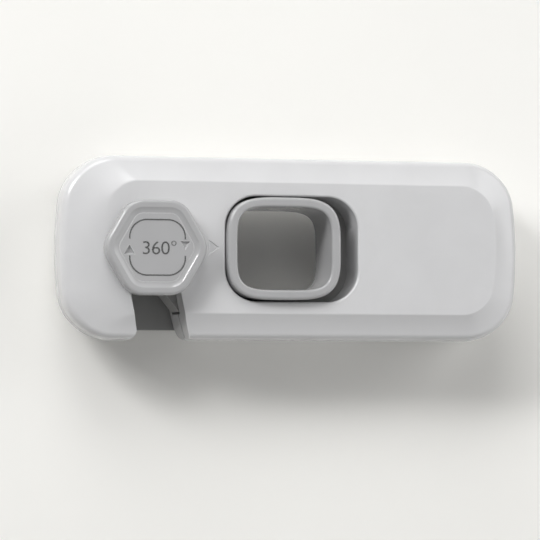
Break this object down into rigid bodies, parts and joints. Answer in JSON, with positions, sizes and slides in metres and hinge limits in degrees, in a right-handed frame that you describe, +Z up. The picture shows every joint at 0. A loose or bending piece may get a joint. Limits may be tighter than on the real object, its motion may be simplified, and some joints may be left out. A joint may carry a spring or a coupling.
{
  "type": "cabinet safety lock",
  "caption": "Swing-arm child safety lock for double cabinet doors: a pivoted arm hooks over a hexagon-headed post, held by a sprung latch that a sliding finger ring releases.",
  "frame": {"origin": "pivot axis of the arm at the door side of the base's sticky pad", "axes": "+X along the arm away from the strike, +Y into the door, +Z up; the front of the lock faces -Y"},
  "size_m": [0.119, 0.0268, 0.046],
  "materials": {
    "white_casing": "moulded, satin gloss",
    "grey_plastic": "moulded, satin gloss",
    "grey_latch": "moulded acetal",
    "grey_plate": "moulded, fine grain",
    "natural_nylon": "moulded nylon",
    "foam_pad": "closed-cell acrylic foam",
    "steel_screw": "zinc plated",
    "spring_steel": "drawn wire"
  },
  "bodies": {
    "base": {"base_plate": "grey_plate", "base_pad": "foam_pad", "friction_washer": "natural_nylon", "pivot_washer": "steel_screw", "pivot_screw": "steel_screw"},
    "arm": {"front_cover": "white_casing", "back_cover": "white_casing", "case_screws": "steel_screw", "pivot_bush": "natural_nylon", "upper_spring": "spring_steel", "lower_spring": "spring_steel"},
    "slider": {"finger_ring": "grey_plastic", "latch_carriage": "grey_latch"},
    "strike": {"strike_plate": "grey_plate", "strike_pad": "foam_pad", "knob_washer": "steel_screw", "knob_screw": "steel_screw"},
    "knob": {"hex_knob": "grey_plastic", "knob_face": "grey_plastic"}
  },
  "joints": [
    {"name": "arm_swing", "type": "hinge", "parent": "base", "child": "arm", "pos_m": [0, 0, 0], "axis": [0, 1, 0], "continuous": true},
    {"name": "ring_slide", "type": "slide", "parent": "arm", "child": "slider", "axis": [1, 0, 0], "range_m": [0, 0.0048], "stiffness_N_per_m": 900, "springref_m": -0.004, "deforming": ["upper_spring", "lower_spring"]},
    {"name": "strike_swivel", "type": "hinge", "parent": "arm", "child": "strike", "pos_m": [-0.07465, 0, -0.00045], "axis": [0, 1, 0], "continuous": true},
    {"name": "knob_spin", "type": "hinge", "parent": "strike", "child": "knob", "pos_m": [-0.07465, 0, -0.00045], "axis": [0, 1, 0], "continuous": true}
  ]
}
